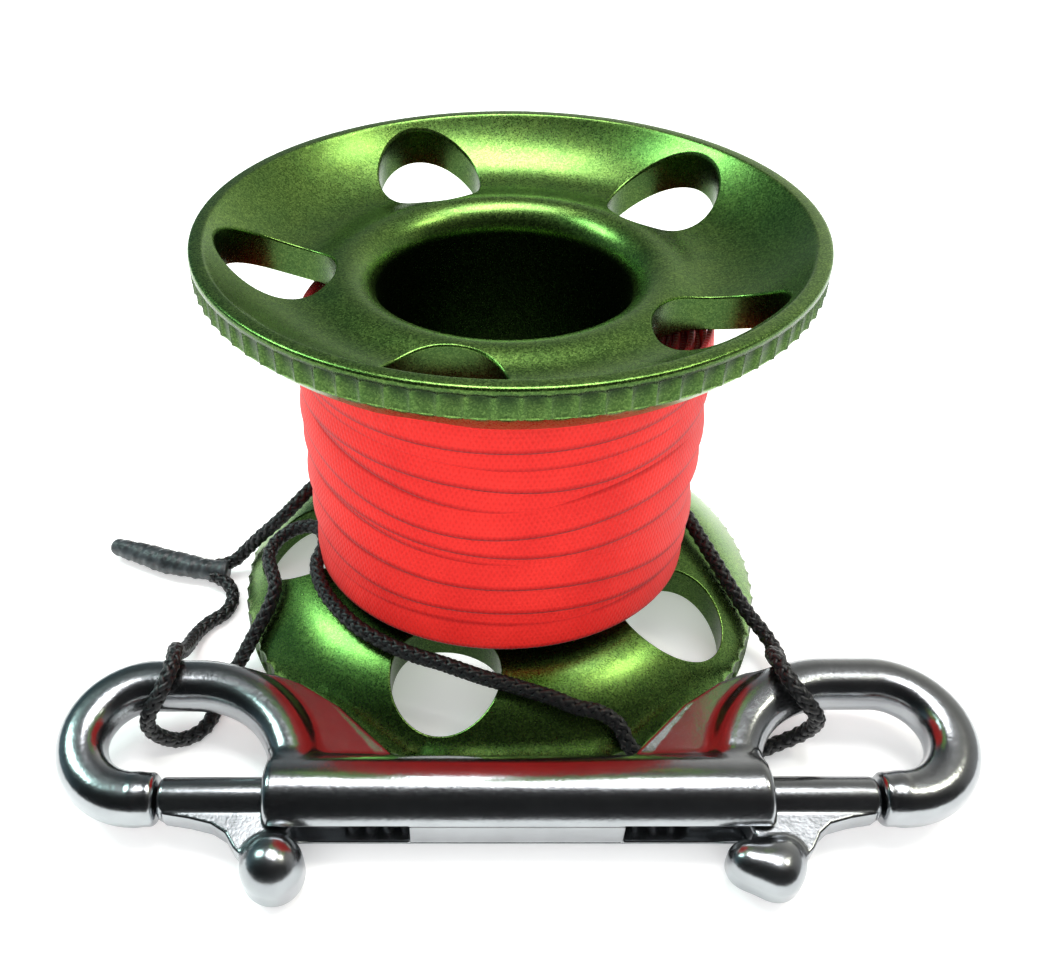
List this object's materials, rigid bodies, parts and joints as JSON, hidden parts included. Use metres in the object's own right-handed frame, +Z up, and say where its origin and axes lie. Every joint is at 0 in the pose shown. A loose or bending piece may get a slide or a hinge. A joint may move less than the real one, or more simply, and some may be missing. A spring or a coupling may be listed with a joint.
{
  "type": "fishing line spool",
  "caption": "Finger spool with two dished, fluted flanges and a through bore, wound with flat line, tethered by a cord loop to a double-ended bolt snap.",
  "frame": {"origin": "on the spool's axis, in the plane of the rim it stands on", "axes": "+Z up along the spool's bore; the snap lies along X in front of the spool, at -Y"},
  "size_m": [0.1181, 0.0923, 0.06],
  "materials": {
    "anodised_aluminium": "satin green anodising",
    "woven_line": "flat woven nylon",
    "braided_cord": "braided",
    "heat_shrink": "wrinkled satin",
    "plated_casting": "polished plated casting",
    "plated_bolt": "plated, tumbled",
    "spring_wire": "drawn wire"
  },
  "bodies": {
    "spool": {"spool_body": "anodised_aluminium", "line_winding": "woven_line"},
    "snap": {"snap_body": "plated_casting", "spring_left": "spring_wire", "spring_right": "spring_wire", "loop_cord": "braided_cord", "heat_shrink_sleeve": "heat_shrink"},
    "bolt_left": {"snap_bolt_left": "plated_bolt"},
    "bolt_right": {"snap_bolt_right": "plated_bolt"}
  },
  "joints": [
    {"name": "loop_turn", "type": "hinge", "parent": "spool", "child": "snap", "pos_m": [0, 0, 0.012], "axis": [0, 0, 1], "continuous": true},
    {"name": "left_gate", "type": "slide", "parent": "snap", "child": "bolt_left", "axis": [1, 0, 0], "range_m": [0, 0.013], "stiffness_N_per_m": 350, "springref_m": -0.006, "deforming": ["spring_left"]},
    {"name": "right_gate", "type": "slide", "parent": "snap", "child": "bolt_right", "axis": [-1, 0, 0], "range_m": [0, 0.013], "stiffness_N_per_m": 350, "springref_m": -0.006, "deforming": ["spring_right"]}
  ]
}
